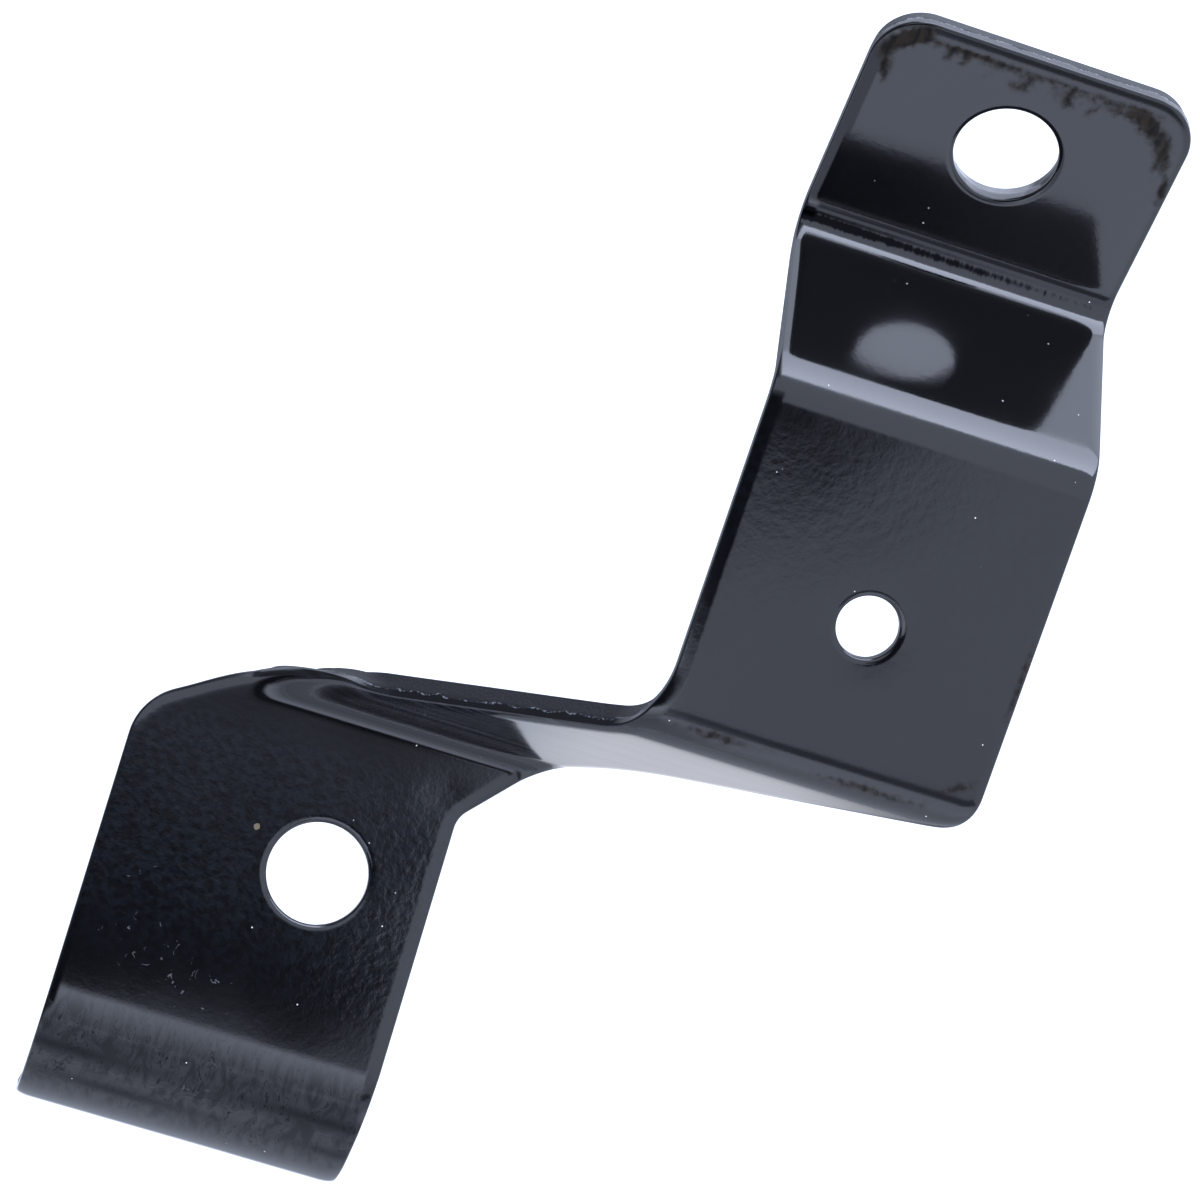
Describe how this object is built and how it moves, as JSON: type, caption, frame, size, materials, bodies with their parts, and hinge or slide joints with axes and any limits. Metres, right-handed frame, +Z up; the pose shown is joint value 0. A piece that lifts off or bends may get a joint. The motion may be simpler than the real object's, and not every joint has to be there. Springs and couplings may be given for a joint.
{
  "type": "bumper mount bracket",
  "caption": "Folded steel plate bracket that carries a bumper: an offset strip of angled panels with round bolt holes, painted gloss black.",
  "frame": {"origin": "on the back face of the middle panel, on its centre line, 14 mm above the small hole's axis", "axes": "+Y out of the middle panel's back face, +Z up the middle panel towards the top tab, +X to the right seen from the front"},
  "size_m": [0.1163, 0.0352, 0.1936],
  "materials": {
    "black_paint": "gloss black paint over steel"
  },
  "bodies": {
    "root": {"bracket": "black_paint"}
  },
  "joints": []
}
